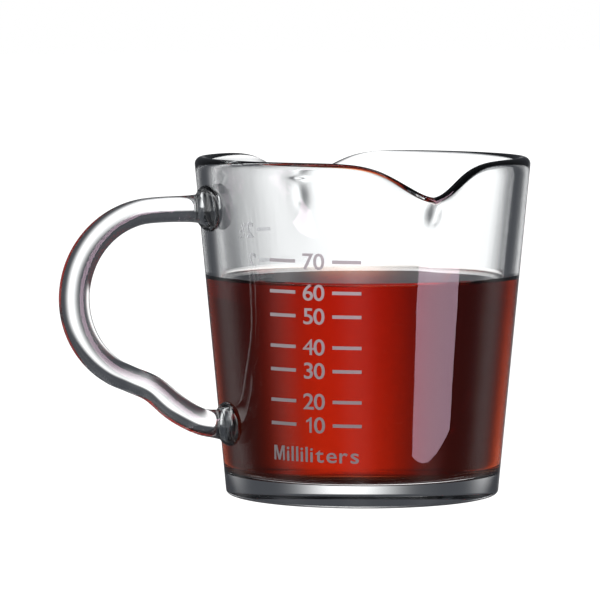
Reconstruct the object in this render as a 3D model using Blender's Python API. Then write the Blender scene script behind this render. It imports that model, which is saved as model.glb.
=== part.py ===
"""Double-spout measuring glass with a fused loop handle and fired-on scales.

Frame: origin at the centre of the flat underside, +Z up, handle toward -X,
pouring spouts toward -Y and +Y. Sizes below are millimetres; the scene is metres.
"""

import math

import bmesh
import bpy
from mathutils import Vector

MM = 0.001
DATUM = 0.5  # the level all heights below are measured from, above the underside

# Tapered cup
FOOT_RADIUS = 24.75  # outer radius the wall would have at the datum
WALL_SLOPE = 0.0945  # outer radius gained per millimetre of height
RIM_HEIGHT = 60.6
WALL = 3.0  # wall thickness low on the cup
RIM_WALL = 2.6  # wall thickness at the lip
FLOOR = 3.4  # top of the glass floor
FOOT_FILLET = 1.5
FLOOR_FILLET = 1.9
CUP_SEGMENTS = 156

# Two pressed pouring spouts
SPOUT_REACH = 2.7  # how far the lip is pushed out
SPOUT_DIP = 5.9  # how far the lip drops below the rim
SPOUT_REACH_WIDTH = 12.5  # degrees
SPOUT_DIP_WIDTH = 14.0  # degrees
SPOUT_REACH_POWER = 1.9
SPOUT_DIP_POWER = 1.7
SPOUT_START = 43.0  # height where the wall starts to bulge
DIP_START = 38.0  # height where the wall starts to be drawn down
SPOUT_AZIMUTHS = (-90.0, 90.0)

# Handle: a glass rod that leaves the upper weld level, turns in a round bow and comes
# back to the lower weld in a soft S. Points are (distance from the axis, height, radius)
HANDLE_START = ((27.0, 51.7, 2.55), (33.0, 51.8, 2.4))
BOW_CENTRE = (39.8, 36.3)
BOW_RADIUS = 15.4
BOW_ANGLES = (90.0, -72.0)
BOW_POINTS = 12
ROD_RADIUS = 2.3
BOW_SWELL = 0.45  # how much the rod thickens at the outside of the bow
HANDLE_END = (
    (40.5, 19.8, 2.4),
    (36.2, 16.3, 2.5),
    (31.8, 13.8, 2.4),
    (28.0, 13.1, 2.5),
    (23.5, 12.9, 2.6),
)
HANDLE_AZIMUTH = 180.0
HANDLE_STEPS = 4  # rings between two path points
ROD_SIDES = 24

# Fused joints where the rod meets the wall: (height, offset from wall, radial,
# sideways and upright half sizes)
UPPER_WELD = (51.8, 0.2, 3.1, 3.9, 4.4)
LOWER_WELD = (13.0, 0.1, 2.7, 3.8, 4.1)
JOINT_GAP = 0.05

# Printed scales
INK = 0.12  # thickness of the fired-on print
INK_GAP = 0.04
TICK_HEIGHT = 0.6
ML_AZIMUTH = -131.0  # centre of the millilitre scale
ML_LEAN = -0.0255  # sideways drift of the print per millimetre of height
ML_SLOPE = -0.0095  # rise of the print per millimetre sideways
ML_FIRST = 14.35  # height of the 10 mark
ML_STEPS = (4.2, 5.47)  # the marks above it come in pairs: a short step, then a long one
ML_TOP = 70
ML_TICK_INNER = 3.4  # from the scale's centre line to the near end of a mark
ML_TICK_OUTER = 8.5
DIGIT_HEIGHT = 2.75
DIGIT_PITCH = 2.0
WORD = "Milliliters"
WORD_HEIGHT = 2.6
WORD_WIDTH = 16.0
WORD_BASE = 7.75
OZ_AZIMUTH = 118.5  # centre of the ounce numbers
OZ_TICK = (-5.9, -2.1)
OZ_MARKS = (
    ("half", 16.4),
    ("1", 24.0),
    ("1_half", 32.0),
    ("2", 40.15),
    ("2_half", 45.85),
)
OZ_DIGIT_HEIGHT = 2.75
FRACTION_HEIGHT = 1.5

BOLD = 0.014  # how much each side of a stroke is thickened, per unit of height
LOWER_CASE_WIDEN = {"t": 1.15, "e": 1.14, "r": 1.12, "s": 1.2}
# Straight-sided characters, as corners in units of their height
OUTLINES = {
    "1": (
        (0.37, 0.0),
        (0.37, 1.0),
        (0.28, 1.0),
        (0.19, 0.885),
        (0.03, 0.79),
        (0.03, 0.655),
        (0.14, 0.705),
        (0.235, 0.775),
        (0.235, 0.0),
    ),
    "M": (
        (0.0, 0.0),
        (0.0, 1.0),
        (0.215, 1.0),
        (0.425, 0.32),
        (0.635, 1.0),
        (0.85, 1.0),
        (0.85, 0.0),
        (0.71, 0.0),
        (0.71, 0.78),
        (0.49, 0.0),
        (0.36, 0.0),
        (0.14, 0.78),
        (0.14, 0.0),
    ),
}

GLASS = (0.88, 0.94, 0.93, 1.0)
ENAMEL = (0.42, 0.42, 0.44, 1.0)


def material(name, colour, roughness, transmission=0.0):
    """A plain Principled material."""
    made = bpy.data.materials.new(name)
    made.use_nodes = True
    shader = made.node_tree.nodes["Principled BSDF"]
    shader.inputs["Base Color"].default_value = colour
    shader.inputs["Roughness"].default_value = roughness
    shader.inputs["IOR"].default_value = 1.5
    shader.inputs["Transmission Weight"].default_value = transmission
    made.diffuse_color = colour
    return made


def node(name, shape, colour, roughness, transmission=0.0, smooth=True):
    """Links one named object made from a bmesh, with a material of its own."""
    bmesh.ops.translate(shape, verts=shape.verts, vec=(0.0, 0.0, DATUM * MM))
    bmesh.ops.recalc_face_normals(shape, faces=shape.faces)
    if shape.calc_volume(signed=True) < 0.0:
        bmesh.ops.reverse_faces(shape, faces=shape.faces)
    mesh = bpy.data.meshes.new(name)
    shape.to_mesh(mesh)
    shape.free()
    made = bpy.data.objects.new(name, mesh)
    bpy.context.scene.collection.objects.link(made)
    mesh.materials.append(material(name + "_finish", colour, roughness, transmission))
    if smooth:
        mesh.polygons.foreach_set("use_smooth", [True] * len(mesh.polygons))
        mesh.set_sharp_from_angle(angle=math.radians(40))
    return made


def smoothstep(value):
    value = min(1.0, max(0.0, value))
    return value * value * (3.0 - 2.0 * value)


def outer_radius(height):
    return FOOT_RADIUS + WALL_SLOPE * height


def arc(centre, radius, start, end, steps):
    """Points (r, z) along a circular arc; angles in degrees."""
    angles = [math.radians(start + (end - start) * i / steps) for i in range(steps + 1)]
    return [
        (centre[0] + radius * math.cos(a), centre[1] + radius * math.sin(a))
        for a in angles
    ]


def cup_profile():
    """Closed half section from the underside centre round the rim to the floor."""
    lean = math.degrees(math.atan(WALL_SLOPE))
    points = [(8.0, -DATUM), (15.0, -DATUM)]
    turn = FOOT_FILLET - DATUM
    foot = (outer_radius(turn) - FOOT_FILLET, turn)
    points += arc(foot, FOOT_FILLET, -90.0, -lean, 7)
    rim = RIM_WALL / 2
    top = RIM_HEIGHT - rim
    for height in (9, 15, 22, 29, 36, 39, 42, 45, 48, 50.5, 53, 55, 57):
        points.append((outer_radius(height), float(height)))
    centre = (outer_radius(top) - rim, top)
    points += arc(centre, rim, 0.0, 180.0, 8)
    for height in (57, 55, 53, 50.5, 48, 45, 42, 39, 36, 29, 22, 15, 10):
        drop = (RIM_HEIGHT - height) / RIM_HEIGHT
        wall = RIM_WALL + (WALL - RIM_WALL) * min(1.0, drop * 1.5)
        points.append((outer_radius(height) - wall, float(height)))
    low = FLOOR + FLOOR_FILLET
    corner = (outer_radius(low) - WALL - FLOOR_FILLET, low)
    points += arc(corner, FLOOR_FILLET, -lean, -90.0, 6)
    points += [(13.0, FLOOR), (6.0, FLOOR)]
    return points


def spouted(radius, height, azimuth):
    """Moves a wall point out and down where the spouts are pressed."""
    for spout in SPOUT_AZIMUTHS:
        off = abs((azimuth - spout + 180.0) % 360.0 - 180.0)
        if off > 60.0:
            continue
        out = math.exp(-((off / SPOUT_REACH_WIDTH) ** SPOUT_REACH_POWER))
        down = math.exp(-((off / SPOUT_DIP_WIDTH) ** SPOUT_DIP_POWER))
        reach = (height - SPOUT_START) / (RIM_HEIGHT - SPOUT_START)
        fall = (height - DIP_START) / (RIM_HEIGHT - DIP_START)
        radius += SPOUT_REACH * out * max(0.0, min(1.0, reach)) ** 1.8
        height -= SPOUT_DIP * down * max(0.0, min(1.0, fall)) ** 1.5
    return radius, height


def ring_azimuths():
    """Angles round the cup, closer together at the spouts."""
    found = []
    for i in range(CUP_SEGMENTS):
        even = math.tau * i / CUP_SEGMENTS
        found.append(even + 0.2 * math.sin(2.0 * even))
    return found


def build_cup():
    shape = bmesh.new()
    azimuths = ring_azimuths()
    rings = []
    for radius, height in cup_profile():
        ring = []
        for azimuth in azimuths:
            r, z = radius, height
            if r > 20.0:
                r, z = spouted(r, z, math.degrees(azimuth))
            place = (r * math.cos(azimuth) * MM, r * math.sin(azimuth) * MM, z * MM)
            ring.append(shape.verts.new(place))
        rings.append(ring)
    for low, high in zip(rings, rings[1:]):
        for i in range(CUP_SEGMENTS):
            j = (i + 1) % CUP_SEGMENTS
            shape.faces.new((low[i], low[j], high[j], high[i]))
    for ring, height in ((rings[0], -DATUM), (rings[-1], FLOOR)):
        centre = shape.verts.new((0.0, 0.0, height * MM))
        for i in range(CUP_SEGMENTS):
            shape.faces.new((centre, ring[(i + 1) % CUP_SEGMENTS], ring[i]))
    return node("cup_body", shape, GLASS, 0.0, 1.0)


def spline(points, steps):
    """Catmull-Rom through the points, any number of values each."""
    found = []
    padded = [points[0], *points, points[-1]]
    for i in range(1, len(padded) - 2):
        a, b, c, d = padded[i - 1 : i + 3]
        for step in range(steps):
            t = step / steps
            found.append(
                tuple(
                    0.5
                    * (
                        2 * q
                        + (r - p) * t
                        + (2 * p - 5 * q + 4 * r - s) * t * t
                        + (3 * q - p - 3 * r + s) * t**3
                    )
                    for p, q, r, s in zip(a, b, c, d)
                )
            )
    found.append(points[-1])
    return found


def handle_path():
    """Points along the middle of the rod, from the upper weld to the lower one."""
    first, last = BOW_ANGLES
    bow = []
    for i in range(BOW_POINTS):
        turn = math.radians(first + (last - first) * i / (BOW_POINTS - 1))
        distance = BOW_CENTRE[0] + BOW_RADIUS * math.cos(turn)
        height = BOW_CENTRE[1] + BOW_RADIUS * math.sin(turn)
        bow.append((distance, height, ROD_RADIUS + BOW_SWELL * math.cos(turn) ** 2))
    return [*HANDLE_START, *bow, *HANDLE_END]


def rod_shape(extra=0.0):
    """The bent rod, thickened by extra, running a little into the wall."""
    shape = bmesh.new()
    azimuth = math.radians(HANDLE_AZIMUTH)
    out = Vector((math.cos(azimuth), math.sin(azimuth), 0.0))
    up = Vector((0.0, 0.0, 1.0))
    side = up.cross(out)
    path = spline(handle_path(), HANDLE_STEPS)
    rings = []
    for i, (distance, height, radius) in enumerate(path):
        before, after = path[max(0, i - 1)], path[min(len(path) - 1, i + 1)]
        along = out * (after[0] - before[0]) + up * (after[1] - before[1])
        across = side.cross(along.normalized())
        centre = out * distance + up * height
        ring = []
        for k in range(ROD_SIDES):
            turn = math.tau * k / ROD_SIDES
            rim = side * math.cos(turn) + across * math.sin(turn)
            ring.append(shape.verts.new((centre + rim * (radius + extra)) * MM))
        rings.append(ring)
    for low, high in zip(rings, rings[1:]):
        for i in range(ROD_SIDES):
            j = (i + 1) % ROD_SIDES
            shape.faces.new((low[i], low[j], high[j], high[i]))
    shape.faces.new(rings[0])
    shape.faces.new(rings[-1])
    return shape


def cutter(name, shape):
    """A hidden object used only by Booleans."""
    made = node(name, shape, GLASS, 0.5)
    made.hide_render = True
    made.display_type = "WIRE"
    return made


def wall_cutter():
    """The wall's outer cone, a joint gap larger."""
    shape = bmesh.new()
    low, high = -6.0, 72.0
    bmesh.ops.create_cone(
        shape,
        cap_ends=True,
        segments=240,
        radius1=(outer_radius(low) + JOINT_GAP) * MM,
        radius2=(outer_radius(high) + JOINT_GAP) * MM,
        depth=(high - low) * MM,
    )
    bmesh.ops.translate(shape, vec=(0.0, 0.0, (high + low) / 2 * MM), verts=shape.verts)
    return cutter("wall_cutter", shape)


def cut(target, tool):
    """Subtracts tool from target."""
    modifier = target.modifiers.new("cut_" + tool.name, "BOOLEAN")
    modifier.operation = "DIFFERENCE"
    modifier.solver = "EXACT"
    modifier.object = tool


def weld_shape(height, offset, radial, sideways, upright):
    """A rounded lump of glass on the wall at the handle."""
    shape = bmesh.new()
    bmesh.ops.create_uvsphere(shape, u_segments=40, v_segments=24, radius=1.0)
    lean = math.atan(WALL_SLOPE)
    centre = Vector((outer_radius(height) + offset, 0.0, height))
    azimuth = math.radians(HANDLE_AZIMUTH)
    for vertex in shape.verts:
        x, y, z = vertex.co
        x, y, z = x * radial, y * sideways, z * upright
        x, z = x * math.cos(lean) + z * math.sin(lean), z * math.cos(lean) - x * math.sin(lean)
        x, y, z = x + centre.x, y, z + centre.z
        vertex.co = (
            (x * math.cos(azimuth) - y * math.sin(azimuth)) * MM,
            (x * math.sin(azimuth) + y * math.cos(azimuth)) * MM,
            z * MM,
        )
    return shape


def build_handle():
    wall = wall_cutter()
    hole = cutter("rod_cutter", rod_shape(JOINT_GAP))
    rod = node("handle_rod", rod_shape(), GLASS, 0.0, 1.0)
    cut(rod, wall)
    for name, sizes in (("weld_upper", UPPER_WELD), ("weld_lower", LOWER_WELD)):
        weld = node(name, weld_shape(*sizes), GLASS, 0.0, 1.0)
        cut(weld, wall)
        cut(weld, hole)


class Scale:
    """Maps flat print coordinates onto the tapered wall.

    across is millimetres along the wall (to the right seen from outside), high is
    millimetres above the underside, and lift is the distance out from the wall.
    """

    def __init__(self, azimuth, lean=0.0, slope=0.0, pivot=29.0):
        self.azimuth = math.radians(azimuth)
        self.lean = lean
        self.slope = slope
        self.pivot = pivot

    def place(self, across, high, lift):
        across_all = across - self.lean * (high - self.pivot)
        height = high + self.slope * across
        radius = outer_radius(height)
        angle = self.azimuth + across_all / radius
        reach = radius + lift
        return (
            reach * math.cos(angle) * MM,
            reach * math.sin(angle) * MM,
            height * MM,
        )


def build_tick(name, scale, left, right, height):
    """One straight mark, following the wall."""
    steps = 8
    shape = bmesh.new()
    rings = []
    for i in range(steps + 1):
        across = left + (right - left) * i / steps
        corners = (
            (-TICK_HEIGHT / 2, INK_GAP),
            (TICK_HEIGHT / 2, INK_GAP),
            (TICK_HEIGHT / 2, INK_GAP + INK),
            (-TICK_HEIGHT / 2, INK_GAP + INK),
        )
        rings.append(
            [shape.verts.new(scale.place(across, height + up, lift)) for up, lift in corners]
        )
    for near, far in zip(rings, rings[1:]):
        for i in range(4):
            j = (i + 1) % 4
            shape.faces.new((near[i], near[j], far[j], far[i]))
    shape.faces.new(rings[0])
    shape.faces.new(rings[-1])
    return node(name, shape, ENAMEL, 0.35, smooth=False)


def outlined(corners, height):
    """A straight-sided letter as a closed slab 1 unit thick, and its width."""
    shape = bmesh.new()
    low = [shape.verts.new((x * height, y * height, -0.5)) for x, y in corners]
    high = [shape.verts.new((x * height, y * height, 0.5)) for x, y in corners]
    shape.faces.new(low)
    shape.faces.new(reversed(high))
    for i in range(len(corners)):
        j = (i + 1) % len(corners)
        shape.faces.new((low[j], low[i], high[i], high[j]))
    shape.normal_update()
    bmesh.ops.triangulate(shape, faces=shape.faces)
    shape.verts.index_update()
    return shape, max(x for x, _ in corners) * height


def glyph_mesh(text, height):
    """A letter as a closed slab 1 unit thick, its left edge at 0, and its width."""
    if text in OUTLINES:
        return outlined(OUTLINES[text], height)
    curve = bpy.data.curves.new("glyph", "FONT")
    curve.body = text
    curve.size = height / 0.682
    curve.offset = 0.0 if text == "4" else BOLD * height
    curve.extrude = 0.5
    curve.resolution_u = 4
    holder = bpy.data.objects.new("glyph", curve)
    bpy.context.scene.collection.objects.link(holder)
    graph = bpy.context.evaluated_depsgraph_get()
    shape = bmesh.new()
    shape.from_mesh(holder.evaluated_get(graph).to_mesh())
    bpy.data.objects.remove(holder)
    bpy.data.curves.remove(curve)
    bmesh.ops.remove_doubles(shape, verts=shape.verts, dist=1e-5)
    shape.verts.index_update()
    left = min(v.co.x for v in shape.verts)
    for vertex in shape.verts:
        vertex.co.x -= left
    return shape, max(v.co.x for v in shape.verts)


def islands(shape):
    """The connected groups of vertices, lowest first."""
    left = set(shape.verts)
    groups = []
    while left:
        group, queue = set(), [left.pop()]
        while queue:
            vertex = queue.pop()
            group.add(vertex)
            for edge in vertex.link_edges:
                other = edge.other_vert(vertex)
                if other in left:
                    left.remove(other)
                    queue.append(other)
        groups.append(group)
    return sorted(groups, key=lambda group: min(v.co.y for v in group))


def build_glyph(name, text, scale, across, base, height, widen=1.0):
    """One printed character, each separate stroke its own object; returns its width."""
    shape, width = glyph_mesh(text, height)
    groups = islands(shape)
    for index, group in enumerate(groups):
        piece = shape.copy()
        keep = {v.index for v in group}
        piece.verts.ensure_lookup_table()
        drop = [v for v in piece.verts if v.index not in keep]
        bmesh.ops.delete(piece, geom=drop, context="VERTS")
        for v in piece.verts:
            lift = INK_GAP + (v.co.z + 0.5) * INK
            v.co = scale.place(across + v.co.x * widen, base + v.co.y, lift)
        label = name if index == 0 else name + "_dot"
        node(label, piece, ENAMEL, 0.35, smooth=False)
    shape.free()
    return width * widen


def build_number(name, text, scale, centre, base, height, pitch):
    """Digits set at an even pitch about a centre."""
    start = centre - pitch * (len(text) - 1) / 2
    for i, digit in enumerate(text):
        shape, width = glyph_mesh(digit, height)
        shape.free()
        widen = 1.08
        across = start + pitch * i - width * widen / 2
        label = name + ("" if len(text) == 1 else ("_tens", "_units")[i])
        build_glyph(label, digit, scale, across, base, height, widen)


def millilitre_marks():
    """Each mark's amount and height, from the lowest up."""
    height = ML_FIRST
    for i, amount in enumerate(range(10, ML_TOP + 1, 10)):
        yield amount, height
        height += ML_STEPS[i % len(ML_STEPS)]


def build_millilitre_scale():
    scale = Scale(ML_AZIMUTH, ML_LEAN, ML_SLOPE)
    for amount, height in millilitre_marks():
        name = "ml_%d" % amount
        build_tick(name + "_tick_left", scale, -ML_TICK_OUTER, -ML_TICK_INNER, height)
        build_tick(name + "_tick_right", scale, ML_TICK_INNER, ML_TICK_OUTER, height)
        base = height - DIGIT_HEIGHT / 2
        build_number(name, str(amount), scale, 0.0, base, DIGIT_HEIGHT, DIGIT_PITCH)
    widths = []
    for letter in WORD:
        shape, width = glyph_mesh(letter, WORD_HEIGHT)
        shape.free()
        widths.append(width * LOWER_CASE_WIDEN.get(letter, 1.0))
    gap = (WORD_WIDTH - sum(widths)) / (len(WORD) - 1)
    across = -WORD_WIDTH / 2
    for i, letter in enumerate(WORD):
        name = "ml_word_%02d_%s" % (i + 1, letter)
        widen = LOWER_CASE_WIDEN.get(letter, 1.0)
        build_glyph(name, letter, scale, across, WORD_BASE, WORD_HEIGHT, widen)
        across += widths[i] + gap


def build_ounce_scale():
    scale = Scale(OZ_AZIMUTH)
    for label, height in OZ_MARKS:
        name = "oz_" + label
        build_tick(name + "_tick", scale, OZ_TICK[0], OZ_TICK[1], height)
    base = {label: height - OZ_DIGIT_HEIGHT / 2 for label, height in OZ_MARKS}
    build_glyph("oz_1_number", "1", scale, -0.4, base["1"], OZ_DIGIT_HEIGHT, 1.08)
    build_glyph("oz_2_number", "2", scale, -0.9, base["2"], OZ_DIGIT_HEIGHT, 1.08)
    name = "oz_2_half_number"
    high = base["2_half"]
    build_glyph(name, "2", scale, -0.9, high, OZ_DIGIT_HEIGHT, 1.08)
    lifted = high + OZ_DIGIT_HEIGHT - FRACTION_HEIGHT
    build_glyph(name + "_one", "1", scale, 1.45, lifted, FRACTION_HEIGHT)
    build_glyph(name + "_bar", "/", scale, 2.0, high + 0.3, 2.1)
    build_glyph(name + "_two", "2", scale, 3.1, high, FRACTION_HEIGHT)


def main():
    for old in list(bpy.data.objects):
        bpy.data.objects.remove(old)
    build_cup()
    build_handle()
    build_millilitre_scale()
    build_ounce_scale()


main()
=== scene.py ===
"""A filled double-spout measuring glass on a pale studio table.

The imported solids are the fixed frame. The cup, the handle with its two welds and
the drink are modelled here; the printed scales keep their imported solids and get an
enamel finish. Sizes are in metres: origin at the centre of the underside, +Z up,
handle towards -X, spouts towards -Y and +Y.
"""

import logging
import math
from collections.abc import Callable, Iterable
from dataclasses import dataclass
from enum import Enum

import bmesh
import bpy
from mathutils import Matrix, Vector


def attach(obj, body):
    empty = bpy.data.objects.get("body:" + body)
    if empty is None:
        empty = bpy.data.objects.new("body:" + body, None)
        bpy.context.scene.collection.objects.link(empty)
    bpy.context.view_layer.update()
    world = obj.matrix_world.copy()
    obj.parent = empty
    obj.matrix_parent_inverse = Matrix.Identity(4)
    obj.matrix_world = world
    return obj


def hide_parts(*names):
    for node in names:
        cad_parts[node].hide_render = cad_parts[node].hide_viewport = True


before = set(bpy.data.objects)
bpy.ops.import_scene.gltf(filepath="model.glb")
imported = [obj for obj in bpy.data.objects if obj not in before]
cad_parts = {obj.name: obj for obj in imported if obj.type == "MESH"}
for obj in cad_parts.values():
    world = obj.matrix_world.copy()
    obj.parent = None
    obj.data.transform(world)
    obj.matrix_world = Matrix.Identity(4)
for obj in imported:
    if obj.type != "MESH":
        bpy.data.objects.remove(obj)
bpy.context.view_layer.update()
LOG = logging.getLogger("measuring_glass")
MM = 0.001
DATUM = 0.5 * MM  # the level all heights are measured from, above the underside

Point = tuple[float, float]
RodPoint = tuple[float, float, float]  # distance out, height and radius in millimetres
Colour = tuple[float, float, float]
Socket = bpy.types.NodeSocket
DEGREES = 180.0 / math.pi


class Side(Enum):
    """Directions that the spouts and the handle point in, in degrees from +X."""

    FRONT_SPOUT = -90.0
    BACK_SPOUT = 90.0
    HANDLE = 180.0


# ---------------------------------------------------------------- modelling bench


class Bench:
    """Small wrappers round the modelling operators."""

    @staticmethod
    def clear() -> None:
        """Leaves edit mode and deselects everything."""
        if bpy.context.object and bpy.context.object.mode != "OBJECT":
            bpy.ops.object.mode_set(mode="OBJECT")
        bpy.ops.object.select_all(action="DESELECT")

    @staticmethod
    def pick(piece: bpy.types.Object) -> None:
        """Makes one piece the only selected and active object."""
        Bench.clear()
        piece.select_set(True)
        bpy.context.view_layer.objects.active = piece

    @staticmethod
    def turned(name: str, profile: list[Point], sides: int) -> bpy.types.Object:
        """Turns a half section round the Z axis by extruding a circle ring by ring.

        Args:
            name: Name of the new object.
            profile: Radius and height of each ring, from one pole to the other.
            sides: Number of sides of the turned shape.

        Returns:
            A closed mesh object at the origin.
        """
        Bench.clear()
        radius, height = profile[0]
        bpy.ops.mesh.primitive_circle_add(
            vertices=sides, radius=radius, fill_type="TRIFAN", location=(0.0, 0.0, height)
        )
        piece = bpy.context.object
        piece.name = name
        bpy.ops.object.transform_apply(location=True)
        bpy.ops.object.mode_set(mode="EDIT")
        bpy.ops.mesh.select_mode(type="EDGE")
        bpy.ops.mesh.select_all(action="DESELECT")
        bpy.ops.mesh.select_non_manifold()
        for (r0, z0), (r1, z1) in zip(profile, profile[1:]):
            bpy.ops.mesh.extrude_edges_move(
                TRANSFORM_OT_translate={"value": (0.0, 0.0, z1 - z0)}
            )
            bpy.ops.transform.resize(
                value=(r1 / r0, r1 / r0, 1.0), center_override=(0.0, 0.0, z1)
            )
        bpy.ops.mesh.extrude_edges_move()
        bpy.ops.mesh.merge(type="CENTER")
        bpy.ops.mesh.select_all(action="SELECT")
        bpy.ops.mesh.normals_make_consistent(inside=False)
        bpy.ops.object.mode_set(mode="OBJECT")
        return piece

    @staticmethod
    def reshape(
        piece: bpy.types.Object, move: Callable[[Vector], Vector]
    ) -> None:
        """Moves every point of a piece by a rule.

        Args:
            piece: The mesh object to change.
            move: Gives a point's new place from its old one.
        """
        shape = bmesh.new()
        shape.from_mesh(piece.data)
        for vertex in shape.verts:
            vertex.co = move(vertex.co)
        shape.to_mesh(piece.data)
        shape.free()
        piece.data.update()

    @staticmethod
    def seat(piece: bpy.types.Object) -> None:
        """Raises a piece's points from the datum to its place above the underside."""
        for vertex in piece.data.vertices:
            vertex.co.z += DATUM
        piece.data.update()

    @staticmethod
    def mark_dry(piece: bpy.types.Object, is_dry: Callable[[Vector], bool]) -> None:
        """Stores 1 on dry points and 0 on wetted ones, as the "dry" attribute.

        Args:
            piece: The mesh object to mark.
            is_dry: Tells whether a point is dry.
        """
        marks = piece.data.color_attributes.new("dry", "FLOAT_COLOR", "POINT")
        for vertex, mark in zip(piece.data.vertices, marks.data):
            share = 1.0 if is_dry(vertex.co) else 0.0
            mark.color = (share, share, share, 1.0)

    @staticmethod
    def finish(piece: bpy.types.Object, angle: float = 50.0) -> None:
        """Merges doubles, turns faces outward and shades a piece smooth.

        Args:
            piece: The mesh object to finish.
            angle: Edges sharper than this, in degrees, stay sharp.
        """
        Bench.pick(piece)
        bpy.ops.object.transform_apply(location=True, rotation=True, scale=True)
        bpy.ops.object.mode_set(mode="EDIT")
        bpy.ops.mesh.select_all(action="SELECT")
        bpy.ops.mesh.remove_doubles(threshold=1e-7)
        bpy.ops.mesh.normals_make_consistent(inside=False)
        bpy.ops.object.mode_set(mode="OBJECT")
        bpy.ops.object.shade_smooth_by_angle(angle=math.radians(angle))
        Bench.clear()


def arc(centre: Point, radius: float, start: float, end: float, steps: int) -> list[Point]:
    """Gives points along a circular arc.

    Args:
        centre: Centre of the arc.
        radius: Radius of the arc.
        start: First angle in degrees.
        end: Last angle in degrees.
        steps: Number of stretches between the first and the last point.

    Returns:
        The points, both ends included.
    """
    turns = [math.radians(start + (end - start) * i / steps) for i in range(steps + 1)]
    return [
        (centre[0] + radius * math.cos(t), centre[1] + radius * math.sin(t)) for t in turns
    ]


def ramp(start: float, end: float, steps: int) -> list[float]:
    """Gives evenly spaced values, both ends included."""
    return [start + (end - start) * i / steps for i in range(steps + 1)]


def smooth_path(points: list[tuple[float, ...]], steps: int) -> list[tuple[float, ...]]:
    """Runs a smooth curve through points of any number of values.

    Args:
        points: The points to pass through.
        steps: Number of stretches between two neighbouring points.

    Returns:
        Points along the curve, both ends included.
    """
    found: list[tuple[float, ...]] = []
    padded = [points[0], *points, points[-1]]
    for i in range(1, len(padded) - 2):
        a, b, c, d = padded[i - 1 : i + 3]
        for step in range(steps):
            t = step / steps
            found.append(
                tuple(
                    0.5
                    * (
                        2 * q
                        + (r - p) * t
                        + (2 * p - 5 * q + 4 * r - s) * t * t
                        + (3 * q - p - 3 * r + s) * t**3
                    )
                    for p, q, r, s in zip(a, b, c, d)
                )
            )
    found.append(points[-1])
    return found


# ---------------------------------------------------------------- finishes


class Finish:
    """Makes node trees for the materials."""

    @staticmethod
    def dry_only(tree: bpy.types.NodeTree, shader: bpy.types.Node) -> None:
        """Lets a surface mirror only where its "dry" attribute is 1."""
        share = tree.nodes.new("ShaderNodeAttribute")
        share.attribute_name = "dry"
        tree.links.new(share.outputs["Color"], shader.inputs["Specular Tint"])

    @staticmethod
    def blank(name: str) -> tuple[bpy.types.Material, bpy.types.NodeTree, bpy.types.Node]:
        """Starts a material with one Principled shader.

        Args:
            name: Name of the material.

        Returns:
            The material, its node tree and its Principled shader.
        """
        made = bpy.data.materials.new(name)
        made.use_nodes = True
        tree = made.node_tree
        return made, tree, tree.nodes["Principled BSDF"]

    @staticmethod
    def grain(
        tree: bpy.types.NodeTree, scale: Vector, detail: float = 2.0, size: float = 1.0
    ) -> bpy.types.Node:
        """Adds a noise texture on Object coordinates.

        Args:
            tree: The tree to add to.
            scale: Stretch of the pattern along each axis, per metre.
            detail: Number of finer layers.
            size: Overall scale of the noise.

        Returns:
            The noise node.
        """
        place = tree.nodes.new("ShaderNodeTexCoord")
        stretch = tree.nodes.new("ShaderNodeMapping")
        stretch.inputs["Scale"].default_value = scale
        texture = tree.nodes.new("ShaderNodeTexNoise")
        texture.inputs["Scale"].default_value = size
        texture.inputs["Detail"].default_value = detail
        tree.links.new(place.outputs["Object"], stretch.inputs["Vector"])
        tree.links.new(stretch.outputs["Vector"], texture.inputs["Vector"])
        return texture


@dataclass(frozen=True)
class GlassFinish:
    """Clear pressed and fire-polished glass with faint draw lines.

    Where a wall is wetted by the drink it has next to no reflection of its own, so
    its mirror strength follows the piece's "dry" attribute.
    """

    name: str = "clear_glass"
    tint: Colour = (0.985, 0.993, 0.992)
    wetted: bool = False
    ior: float = 1.5
    draw_lines: tuple[float, float, float] = (260.0, 260.0, 30.0)
    ripple: float = 0.02
    ripple_height: float = 0.6 * MM

    def make(self) -> bpy.types.Material:
        """Builds the material."""
        made, tree, shader = Finish.blank(self.name)
        shader.inputs["Base Color"].default_value = (*self.tint, 1.0)
        shader.inputs["Transmission Weight"].default_value = 1.0
        shader.inputs["IOR"].default_value = self.ior
        shader.inputs["Roughness"].default_value = 0.0
        lines = Finish.grain(tree, Vector(self.draw_lines), 2.0)
        bump = tree.nodes.new("ShaderNodeBump")
        bump.inputs["Strength"].default_value = self.ripple
        bump.inputs["Distance"].default_value = self.ripple_height
        tree.links.new(lines.outputs["Fac"], bump.inputs["Height"])
        tree.links.new(bump.outputs["Normal"], shader.inputs["Normal"])
        if self.wetted:
            Finish.dry_only(tree, shader)
        return made


@dataclass(frozen=True)
class DrinkFinish:
    """A clear red-brown drink that darkens with depth."""

    name: str = "red_brown_drink"
    body: Colour = (0.887, 0.495, 0.21)
    density: float = 200.0
    ior: float = 1.333

    def make(self) -> bpy.types.Material:
        """Builds the material."""
        made, tree, shader = Finish.blank(self.name)
        shader.inputs["Base Color"].default_value = (1.0, 1.0, 1.0, 1.0)
        shader.inputs["Transmission Weight"].default_value = 1.0
        shader.inputs["IOR"].default_value = self.ior
        shader.inputs["Roughness"].default_value = 0.0
        Finish.dry_only(tree, shader)
        depth = tree.nodes.new("ShaderNodeVolumeAbsorption")
        depth.inputs["Color"].default_value = (*self.body, 1.0)
        depth.inputs["Density"].default_value = self.density
        out = tree.nodes["Material Output"]
        tree.links.new(depth.outputs["Volume"], out.inputs["Volume"])
        return made


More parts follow.
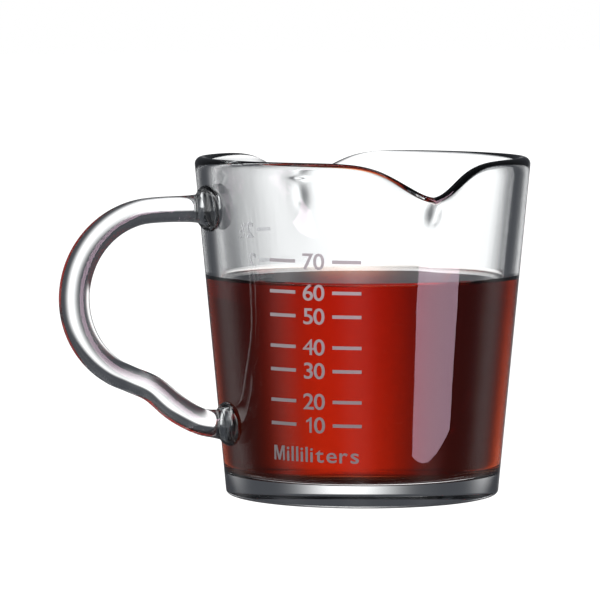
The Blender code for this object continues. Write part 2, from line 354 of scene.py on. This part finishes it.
@dataclass(frozen=True)
class EnamelFinish:
    """Thin grey fired-on enamel that lets some light through, darkened low on the cup by
    painted shade.
    """

    name: str = "scale_enamel"
    light: Colour = (0.50, 0.46, 0.48)
    dark: Colour = (0.42, 0.39, 0.41)
    speckle: float = 2400.0
    show_through: float = 0.45
    # Painted shade: full below the lower height, none above the upper one, and the share of the
    # colour it keeps at the bottom.
    painted_shade_none_above: float = 41.0 * MM
    painted_shade_full_below: float = 12.0 * MM
    painted_shade_low: float = 0.55
    ior: float = 1.1
    smoothest: float = 0.3
    roughest: float = 0.5

    def make(self) -> bpy.types.Material:
        """Builds the material."""
        made, tree, shader = Finish.blank(self.name)
        grain = Finish.grain(tree, Vector((1.0, 1.0, 1.0)), 4.0, self.speckle)
        mix = tree.nodes.new("ShaderNodeMix")
        mix.data_type = "RGBA"
        mix.inputs["A"].default_value = (*self.dark, 1.0)
        mix.inputs["B"].default_value = (*self.light, 1.0)
        tree.links.new(grain.outputs["Fac"], mix.inputs["Factor"])
        place = tree.nodes.new("ShaderNodeTexCoord")
        split = tree.nodes.new("ShaderNodeSeparateXYZ")
        tree.links.new(place.outputs["Object"], split.inputs["Vector"])
        # Painted shade: the enamel colour is scaled down from the top of the print towards the
        # bottom, standing in for light that falls from above.
        painted_shade_ramp = tree.nodes.new("ShaderNodeMapRange")
        painted_shade_ramp.inputs["From Min"].default_value = self.painted_shade_full_below
        painted_shade_ramp.inputs["From Max"].default_value = self.painted_shade_none_above
        painted_shade_ramp.inputs["To Min"].default_value = self.painted_shade_low
        tree.links.new(split.outputs["Z"], painted_shade_ramp.inputs["Value"])
        scaled = tree.nodes.new("ShaderNodeVectorMath")
        scaled.operation = "SCALE"
        tree.links.new(mix.outputs["Result"], scaled.inputs[0])
        tree.links.new(painted_shade_ramp.outputs["Result"], scaled.inputs["Scale"])
        tree.links.new(scaled.outputs["Vector"], shader.inputs["Base Color"])
        shader.inputs["Transmission Weight"].default_value = self.show_through
        shader.inputs["IOR"].default_value = self.ior
        rough = tree.nodes.new("ShaderNodeMapRange")
        rough.inputs["To Min"].default_value = self.smoothest
        rough.inputs["To Max"].default_value = self.roughest
        tree.links.new(grain.outputs["Fac"], rough.inputs["Value"])
        tree.links.new(rough.outputs["Result"], shader.inputs["Roughness"])
        return made


# ---------------------------------------------------------------- the cup


@dataclass
class Cup:
    """The tapered glass body with a thick floor and two pressed spouts."""

    foot_radius: float = 24.75 * MM
    slope: float = 0.0945
    rim_height: float = 60.6 * MM
    wall: float = 3.0 * MM
    rim_wall: float = 2.6 * MM
    floor: float = 3.4 * MM
    foot_fillet: float = 0.7 * MM
    floor_fillet: float = 1.9 * MM
    spout_reach: float = 2.7 * MM
    spout_dip: float = 5.9 * MM
    reach_width: float = 12.5
    reach_power: float = 1.9
    reach_rise: float = 1.8
    dip_width: float = 14.0
    dip_power: float = 1.7
    dip_rise: float = 1.5
    pressed_from: float = 20.0 * MM
    outer_skin: float = 0.8 * MM
    gob_at: float = 55.5 * MM
    gob_half: float = 4.0 * MM
    gob_width: float = 2.6
    gob_depth: float = 0.55 * MM
    spout_start: float = 43.0 * MM
    dip_start: float = 38.0 * MM
    wet_to: float = 39.55 * MM
    sides: int = 288

    def outer(self, height: float) -> float:
        """Gives the wall's outer radius at a height."""
        return self.foot_radius + self.slope * height

    def inner(self, height: float) -> float:
        """Gives the wall's inner radius at a height above the floor's corner."""
        low = min(1.0, (self.rim_height - height) / self.rim_height * 1.5)
        return self.outer(height) - self.rim_wall - (self.wall - self.rim_wall) * low

    def profile(self) -> list[Point]:
        """Gives the half section from the underside round the rim to the floor."""
        lean = math.degrees(math.atan(self.slope))
        points = [(r * MM, -DATUM) for r in (3.0, 8.0, 14.0, 19.0)]
        turn = self.foot_fillet - DATUM
        foot = (self.outer(turn) - self.foot_fillet, turn)
        points += arc(foot, self.foot_fillet, -90.0, -lean, 10)
        rim = self.rim_wall / 2
        top = self.rim_height - rim
        points += [(self.outer(z), z) for z in ramp(6 * MM, 37 * MM, 9)]
        points += [(self.outer(z), z) for z in ramp(38.5 * MM, 58 * MM, 16)]
        points += arc((self.outer(top) - rim, top), rim, 0.0, 180.0, 14)
        points += [(self.inner(z), z) for z in ramp(58 * MM, 41.5 * MM, 14)]
        points += [(self.inner(z), z) for z in (39.6 * MM, 39.5 * MM, 38.5 * MM)]
        points += [(self.inner(z), z) for z in ramp(37 * MM, 10 * MM, 8)]
        low = self.floor + self.floor_fillet
        corner = (self.outer(low) - self.wall - self.floor_fillet, low)
        points += arc(corner, self.floor_fillet, -lean, -90.0, 10)
        points += [(r * MM, self.floor) for r in (16.0, 10.0, 4.0)]
        return points

    def pressed(self, place: Vector) -> Vector:
        """Moves a wall point out and down where a spout is pressed.

        Args:
            place: The point before pressing.

        Returns:
            The point after pressing.
        """
        radius, height = place.xy.length, place.z
        if radius < self.pressed_from:
            return place
        turn = math.atan2(place.y, place.x)
        for spout in (Side.FRONT_SPOUT, Side.BACK_SPOUT):
            off = abs((math.degrees(turn) - spout.value + 180.0) % 360.0 - 180.0)
            out = math.exp(-((off / self.reach_width) ** self.reach_power))
            down = math.exp(-((off / self.dip_width) ** self.dip_power))
            reach = (place.z - self.spout_start) / (self.rim_height - self.spout_start)
            fall = (place.z - self.dip_start) / (self.rim_height - self.dip_start)
            radius += self.spout_reach * out * max(0.0, reach) ** self.reach_rise
            if place.xy.length > self.outer(place.z) - self.outer_skin:
                above = (place.z - self.gob_at) / self.gob_half
                gob = math.exp(-((off / self.gob_width) ** 2)) * max(0.0, 1.0 - above**2)
                radius += self.gob_depth * gob
            height -= self.spout_dip * down * max(0.0, fall) ** self.dip_rise
        return Vector((radius * math.cos(turn), radius * math.sin(turn), height))

    def is_dry(self, place: Vector) -> bool:
        """Tells whether a point of the cup isn't wetted by the drink."""
        inside = place.xy.length < self.outer(place.z) - self.wall / 2
        return not (inside and self.floor * 0.9 < place.z < self.wet_to)

    def build(self, glass: bpy.types.Material) -> bpy.types.Object:
        """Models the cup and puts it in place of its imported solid."""
        piece = Bench.turned("cup_glass", self.profile(), self.sides)
        Bench.reshape(piece, self.pressed)
        Bench.finish(piece, 70.0)
        Bench.mark_dry(piece, self.is_dry)
        Bench.seat(piece)
        piece.data.materials.append(glass)
        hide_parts("cup_body")
        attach(piece, "root")
        LOG.info("%s: %d faces", piece.name, len(piece.data.polygons))
        return piece


# ---------------------------------------------------------------- the handle


@dataclass
class Handle:
    """The bent glass rod and the two welds that fuse it to the wall."""

    cup: Cup
    sides: int = 12
    bow_centre: tuple[float, float] = (39.8, 36.3)
    bow_radius: float = 15.4
    bow_angles: tuple[float, float] = (90.0, -72.0)
    bow_points: int = 12
    rod_radius: float = 2.3
    bow_swell: float = 0.45
    start: tuple[RodPoint, ...] = ((27.6, 51.7, 3.6), (30.4, 51.8, 2.9), (33.5, 51.8, 2.4))
    end: tuple[RodPoint, ...] = (
        (40.5, 19.8, 2.4),
        (36.2, 16.3, 2.5),
        (31.8, 13.8, 2.4),
        (28.4, 13.1, 2.6),
        (25.4, 12.9, 3.2),
    )
    upper_height: float = 51.8 * MM
    upper_weld: tuple[float, float, float] = (2.5 * MM, 3.9 * MM, 4.2 * MM)
    lower_height: float = 13.0 * MM
    lower_weld: tuple[float, float, float] = (2.2 * MM, 3.8 * MM, 4.0 * MM)
    weld_proud: float = 0.1 * MM
    weld_sunk: float = 1.2 * MM

    def path(self) -> list[RodPoint]:
        """Gives the rod's middle line.

        Returns:
            The upper stub, the round bow and the soft S down to the lower weld.
        """
        first, last = self.bow_angles
        bow = []
        for i in range(self.bow_points):
            turn = math.radians(first + (last - first) * i / (self.bow_points - 1))
            out = self.bow_centre[0] + self.bow_radius * math.cos(turn)
            up = self.bow_centre[1] + self.bow_radius * math.sin(turn)
            bow.append((out, up, self.rod_radius + self.bow_swell * math.cos(turn) ** 2))
        return [*self.start, *bow, *self.end]

    def build_rod(self, glass: bpy.types.Material) -> bpy.types.Object:
        """Sweeps the rod along its path."""
        Bench.clear()
        bpy.ops.curve.primitive_nurbs_path_add()
        piece = bpy.context.object
        piece.name = "handle_rod_glass"
        curve = piece.data
        curve.splines.clear()
        points = smooth_path(self.path(), 6)
        spline = curve.splines.new("POLY")
        spline.points.add(len(points) - 1)
        for point, (out, up, radius) in zip(spline.points, points):
            point.co = (-out * MM, 0.0, up * MM, 1.0)
            point.radius = radius
        curve.dimensions = "3D"
        curve.bevel_depth = MM
        curve.bevel_resolution = self.sides
        curve.use_fill_caps = True
        bpy.ops.object.convert(target="MESH")
        piece = bpy.context.object
        Bench.finish(piece, 60.0)
        Bench.seat(piece)
        piece.data.materials.append(glass)
        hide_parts("handle_rod")
        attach(piece, "root")
        return piece

    def build_weld(
        self,
        name: str,
        node: str,
        height: float,
        sizes: tuple[float, float, float],
        glass: bpy.types.Material,
    ) -> bpy.types.Object:
        """Models one lump of fused glass on the wall.

        Args:
            name: Name of the new piece.
            node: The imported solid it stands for.
            height: Height of its centre.
            sizes: Radial, sideways and upright half sizes.
            glass: Its material.

        Returns:
            The weld.
        """
        Bench.clear()
        bpy.ops.mesh.primitive_uv_sphere_add(segments=64, ring_count=40, radius=1.0)
        piece = bpy.context.object
        piece.name = name
        lean = math.atan(self.cup.slope)
        middle = self.cup.outer(height) + self.weld_proud

        def place(point: Vector) -> Vector:
            """Stretches the ball, leans it with the wall and moves it there."""
            out, side, up = (c * s for c, s in zip(point, sizes))
            out = max(out, -self.weld_sunk)
            turned_out = out * math.cos(lean) + up * math.sin(lean)
            turned_up = up * math.cos(lean) - out * math.sin(lean)
            return Vector((-(middle + turned_out), -side, height + turned_up))

        Bench.reshape(piece, place)
        Bench.finish(piece, 60.0)
        Bench.seat(piece)
        piece.data.materials.append(glass)
        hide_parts(node)
        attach(piece, "root")
        return piece

    def build(self, glass: bpy.types.Material) -> None:
        """Models the rod and both welds."""
        self.build_rod(glass)
        upper, lower = self.upper_weld, self.lower_weld
        self.build_weld("weld_upper_glass", "weld_upper", self.upper_height, upper, glass)
        self.build_weld("weld_lower_glass", "weld_lower", self.lower_height, lower, glass)
        LOG.info("handle and two welds built")


# ---------------------------------------------------------------- the drink


@dataclass
class Drink:
    """The drink in the cup, with a raised edge where it wets the wall."""

    cup: Cup
    level: float = 38.75 * MM
    climb: float = 0.8 * MM
    climb_width: float = 1.6 * MM
    overlap: float = 0.03 * MM
    sides: int = 288

    def profile(self) -> list[Point]:
        """Gives the half section from the floor's centre to the surface's centre."""
        cup = self.cup
        lean = math.degrees(math.atan(cup.slope))
        low = cup.floor + cup.floor_fillet
        corner = (cup.outer(low) - cup.wall - cup.floor_fillet, low)
        fillet = cup.floor_fillet + self.overlap
        points = [(r * MM, cup.floor - self.overlap) for r in (4.0, 10.0, 16.0)]
        points += arc(corner, fillet, -90.0, -lean, 10)
        edge = self.level + self.climb
        points += [(cup.inner(z) + self.overlap, z) for z in ramp(10 * MM, edge, 14)]
        rim = cup.inner(edge) + self.overlap
        for share in ramp(0.05, 1.0, 14):
            fall = self.climb * (1.0 - math.exp(-4.0 * share)) / (1.0 - math.exp(-4.0))
            points.append((rim - self.climb_width * share, edge - fall))
        points += [(r * MM, self.level) for r in (20.0, 13.0, 6.0, 2.0)]
        return points

    def is_surface(self, place: Vector) -> bool:
        """Tells whether a point belongs to the drink's open surface."""
        wall = self.cup.inner(place.z) + self.overlap / 2
        return place.z > self.level - 0.01 * MM and place.xy.length < wall

    def build(self, finish: bpy.types.Material) -> bpy.types.Object:
        """Models the drink."""
        piece = Bench.turned("drink", self.profile(), self.sides)
        Bench.finish(piece, 60.0)
        Bench.mark_dry(piece, self.is_surface)
        Bench.seat(piece)
        piece.data.materials.append(finish)
        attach(piece, "root")
        LOG.info("%s: %d faces", piece.name, len(piece.data.polygons))
        return piece


# ---------------------------------------------------------------- the scales


@dataclass
class Scales:
    """The fired-on marks, numbers and word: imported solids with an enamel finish."""

    prefixes: tuple[str, ...] = ("ml_", "oz_")

    def nodes(self) -> Iterable[bpy.types.Object]:
        """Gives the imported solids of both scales."""
        return [o for n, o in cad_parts.items() if n.startswith(self.prefixes)]

    def dress(self, near: bpy.types.Material, far: bpy.types.Material) -> None:
        """Puts the enamels on the near and the far scale's marks."""
        count = 0
        for piece in self.nodes():
            for slot in piece.material_slots:
                slot.material = near if piece.name.startswith("ml_") else far
            count += 1
        LOG.info("%d scale marks dressed", count)


# ---------------------------------------------------------------- the studio


class Wiring:
    """Adds sums to a node tree."""

    def __init__(self, tree: bpy.types.NodeTree) -> None:
        """Keeps the tree."""
        self.tree = tree

    def plug(self, value: "Socket | float", socket: Socket) -> None:
        """Links a socket, or sets a number."""
        if isinstance(value, (int, float)):
            socket.default_value = value
        else:
            self.tree.links.new(value, socket)

    def math(
        self, operation: str, first: "Socket | float", second: "Socket | float" = 0.0
    ) -> Socket:
        """Adds one sum and gives its result."""
        node = self.tree.nodes.new("ShaderNodeMath")
        node.operation = operation
        self.plug(first, node.inputs[0])
        self.plug(second, node.inputs[1])
        return node.outputs["Value"]

    def dot(self, first: Socket, second: tuple[float, float, float]) -> Socket:
        """Gives the dot product with a fixed vector."""
        node = self.tree.nodes.new("ShaderNodeVectorMath")
        node.operation = "DOT_PRODUCT"
        self.tree.links.new(first, node.inputs[0])
        node.inputs[1].default_value = second
        return node.outputs["Value"]

    def step(self, value: Socket, start: float, end: float) -> Socket:
        """Rises smoothly from 0 to 1 between two values, in either direction."""
        node = self.tree.nodes.new("ShaderNodeMapRange")
        node.interpolation_type = "SMOOTHSTEP"
        flip = start > end
        node.inputs["From Min"].default_value = min(start, end)
        node.inputs["From Max"].default_value = max(start, end)
        node.inputs["To Min"].default_value = 1.0 if flip else 0.0
        node.inputs["To Max"].default_value = 0.0 if flip else 1.0
        self.tree.links.new(value, node.inputs["Value"])
        return node.outputs["Result"]

    def blend(self, share: Socket, first: "Socket | float", second: "Socket | float") -> Socket:
        """Mixes two values."""
        rest = self.math("SUBTRACT", 1.0, share)
        kept = self.math("MULTIPLY", first, rest)
        return self.math("ADD", kept, self.math("MULTIPLY", second, share))


@dataclass
class Studio:
    """Camera, table and soft light."""

    azimuth: float = -23.0
    distance: float = 760.0 * MM
    height: float = 93.8 * MM
    aim_left: float = 11.3 * MM
    aim_height: float = 35.1 * MM
    lens: float = 252.2
    panels: int = 6
    panel_turn: float = 4.0
    panel_half: float = 12.0
    panel_edge: float = 2.4
    panel_top: tuple[float, float] = (5.5, -1.5)
    panel_glow: float = 1.3
    panel_mirrored: float = 0.2
    shade: Colour = (0.066, 0.070, 0.079)
    table_size: float = 8.0
    table_drop: float = 0.2 * MM
    table_glow: float = 1.2
    strip_place: tuple[float, float, float] = (55.0, 0.45, 0.128)
    strip_size: tuple[float, float] = (0.30, 0.53)
    strip_power: float = 2.6
    strip_tint: Colour = (1.0, 0.68, 0.86)
    strip_roll: float = 4.0
    front_place: tuple[float, float, float] = (-25.0, 1.2, 0.7)
    front_size: tuple[float, float] = (0.8, 0.8)
    front_power: float = 14.0
    lit_height: float = 30.0 * MM

    def around(self, degrees: float, distance: float, height: float) -> Vector:
        """Gives a place round the glass.

        Args:
            degrees: Angle from the camera's side, positive to the camera's right.
            distance: Distance from the glass's axis.
            height: Height above the table.

        Returns:
            The place.
        """
        turn = math.radians(self.azimuth + degrees)
        return Vector((distance * math.sin(turn), -distance * math.cos(turn), height))

    def aim(self, thing: bpy.types.Object, target: Vector) -> None:
        """Turns a camera or a lamp towards a point."""
        away = target - thing.location
        thing.rotation_euler = away.to_track_quat("-Z", "Y").to_euler()

    def add_camera(self) -> None:
        """Adds the camera."""
        data = bpy.data.cameras.new("studio_camera")
        data.lens = self.lens
        data.sensor_width = 36.0
        data.clip_start = 0.01
        data.clip_end = 50.0
        camera = bpy.data.objects.new("studio_camera", data)
        bpy.context.scene.collection.objects.link(camera)
        camera.location = self.around(0.0, self.distance, self.height)
        turn = math.radians(self.azimuth)
        right = Vector((math.cos(turn), math.sin(turn), 0.0))
        target = Vector((0.0, 0.0, self.aim_height)) - right * self.aim_left
        self.aim(camera, target)
        bpy.context.scene.camera = camera

    def add_lamp(
        self,
        name: str,
        place: Vector,
        target: Vector,
        size: tuple[float, float],
        power: float,
        mirrored: bool = True,
        seen_through: bool = True,
        tint: Colour = (1.0, 1.0, 1.0),
        roll: float = 0.0,
    ) -> bpy.types.Object:
        """Adds one soft rectangular lamp.

        Args:
            name: Name of the lamp.
            place: Its centre.
            target: The point it faces.
            size: Width and height.
            power: Power in watts.
            mirrored: Whether it shows in reflections.
            seen_through: Whether it shows through clear glass.
            tint: Its colour.
            roll: Turn about its own axis, in degrees.

        Returns:
            The lamp.
        """
        data = bpy.data.lights.new(name, "AREA")
        data.shape = "RECTANGLE"
        data.size, data.size_y = size
        data.energy = power
        data.color = tint
        lamp = bpy.data.objects.new(name, data)
        bpy.context.scene.collection.objects.link(lamp)
        lamp.location = place
        self.aim(lamp, target)
        lamp.rotation_euler.rotate_axis("Z", math.radians(roll))
        lamp.visible_camera = False
        lamp.visible_glossy = mirrored
        lamp.visible_transmission = seen_through
        return lamp

    def glow(self, name: str, colour: Colour, strength: float) -> bpy.types.Material:
        """Makes a plain glowing material for the table."""
        made = bpy.data.materials.new(name)
        made.use_nodes = True
        tree = made.node_tree
        tree.nodes.remove(tree.nodes["Principled BSDF"])
        light = tree.nodes.new("ShaderNodeEmission")
        light.inputs["Color"].default_value = (*colour, 1.0)
        light.inputs["Strength"].default_value = strength
        out = tree.nodes["Material Output"]
        tree.links.new(light.outputs["Emission"], out.inputs["Surface"])
        return made

    def add_table(self) -> None:
        """Adds the pale table."""
        Bench.clear()
        place = (0.0, 0.0, -self.table_drop)
        bpy.ops.mesh.primitive_plane_add(size=self.table_size, location=place)
        table = bpy.context.object
        table.name = "pale_table"
        table.data.materials.append(self.glow("pale_table", (1.0, 1.0, 1.0), self.table_glow))
        table.visible_glossy = False
        table.visible_transmission = False

    def facing(self, wires: Wiring) -> tuple[Socket, Socket]:
        """Gives a ray's turn to the camera's right and its rise, both in degrees."""
        turn = math.radians(self.azimuth)
        place = wires.tree.nodes.new("ShaderNodeTexCoord").outputs["Generated"]
        split = wires.tree.nodes.new("ShaderNodeSeparateXYZ")
        wires.tree.links.new(place, split.inputs["Vector"])
        across = wires.dot(place, (math.cos(turn), math.sin(turn), 0.0))
        along = wires.dot(place, (-math.sin(turn), math.cos(turn), 0.0))
        heading = wires.math("ARCTAN2", across, along)
        rise = wires.math("ARCSINE", split.outputs["Z"])
        return wires.math("MULTIPLY", heading, DEGREES), wires.math("MULTIPLY", rise, DEGREES)

    def panel_light(self, wires: Wiring, heading: Socket, rise: Socket) -> Socket:
        """Gives the light of the even ring of soft panels that stands round the table.

        Args:
            wires: Adds the sums.
            heading: The ray's heading.
            rise: The ray's rise.

        Returns:
            The brightness.
        """
        turned = wires.math("SUBTRACT", heading, self.panel_turn)
        off = wires.math("PINGPONG", turned, 180.0 / self.panels)
        far = wires.math("POWER", wires.math("DIVIDE", off, self.panel_half), self.panel_edge)
        glow = wires.math("EXPONENT", wires.math("MULTIPLY", far, -1.0))
        glow = wires.math("MULTIPLY", glow, wires.step(rise, *self.panel_top))
        return wires.math("MULTIPLY", glow, self.panel_glow)

    def set_world(self) -> None:
        """Sets a white background, with dim surroundings and soft panels for the glass."""
        world = bpy.data.worlds.new("studio")
        bpy.context.scene.world = world
        world.use_nodes = True
        tree = world.node_tree
        tree.nodes.clear()
        wires = Wiring(tree)
        heading, rise = self.facing(wires)
        dim, panels, white = (tree.nodes.new("ShaderNodeBackground") for _ in range(3))
        dim.inputs["Color"].default_value = (*self.shade, 1.0)
        panels.inputs["Color"].default_value = (1.0, 1.0, 1.0, 1.0)
        white.inputs["Color"].default_value = (1.0, 1.0, 1.0, 1.0)
        path = tree.nodes.new("ShaderNodeLightPath")
        refracted = path.outputs["Is Transmission Ray"]
        mirrored = wires.math("SUBTRACT", path.outputs["Is Glossy Ray"], refracted)
        mirrored = wires.math("MAXIMUM", mirrored, 0.0)
        share = wires.blend(mirrored, 1.0, self.panel_mirrored)
        light = wires.math("MULTIPLY", self.panel_light(wires, heading, rise), share)
        tree.links.new(light, panels.inputs["Strength"])
        around = tree.nodes.new("ShaderNodeAddShader")
        tree.links.new(dim.outputs["Background"], around.inputs[0])
        tree.links.new(panels.outputs["Background"], around.inputs[1])
        mix = tree.nodes.new("ShaderNodeMixShader")
        out = tree.nodes.new("ShaderNodeOutputWorld")
        tree.links.new(path.outputs["Is Camera Ray"], mix.inputs["Fac"])
        tree.links.new(around.outputs["Shader"], mix.inputs[1])
        tree.links.new(white.outputs["Background"], mix.inputs[2])
        tree.links.new(mix.outputs["Shader"], out.inputs["Surface"])

    def build(self) -> None:
        """Sets up the whole studio."""
        self.add_camera()
        self.add_table()
        self.set_world()
        middle = Vector((0.0, 0.0, self.lit_height))
        self.add_lamp(
            "strip_box",
            self.around(*self.strip_place),
            middle,
            self.strip_size,
            self.strip_power,
            seen_through=False,
            tint=self.strip_tint,
            roll=self.strip_roll,
        )
        self.add_lamp(
            "front_box",
            self.around(*self.front_place),
            middle,
            self.front_size,
            self.front_power,
            mirrored=False,
            seen_through=False,
        )
        scene = bpy.context.scene
        scene.view_settings.view_transform = "Standard"
        scene.view_settings.look = "None"
        LOG.info("studio ready")


def main() -> None:
    """Builds every piece in order."""
    logging.basicConfig(level=logging.INFO, format="%(name)s: %(message)s")
    cup = Cup()
    cup.build(GlassFinish("cup_glass", wetted=True).make())
    Handle(cup).build(GlassFinish("handle_glass").make())
    Drink(cup).build(DrinkFinish().make())
    # The far scale's marks get a paler grey and no darkening low down: painted light that makes
    # them brighter through the glass, though both scales are one print.
    pale = (0.95, 0.95, 0.97)
    far = EnamelFinish("ounce_enamel", pale, pale, show_through=0.92, painted_shade_low=1.0)
    Scales().dress(EnamelFinish("millilitre_enamel").make(), far.make())
    Studio().build()


if __name__ == "__main__":
    main()
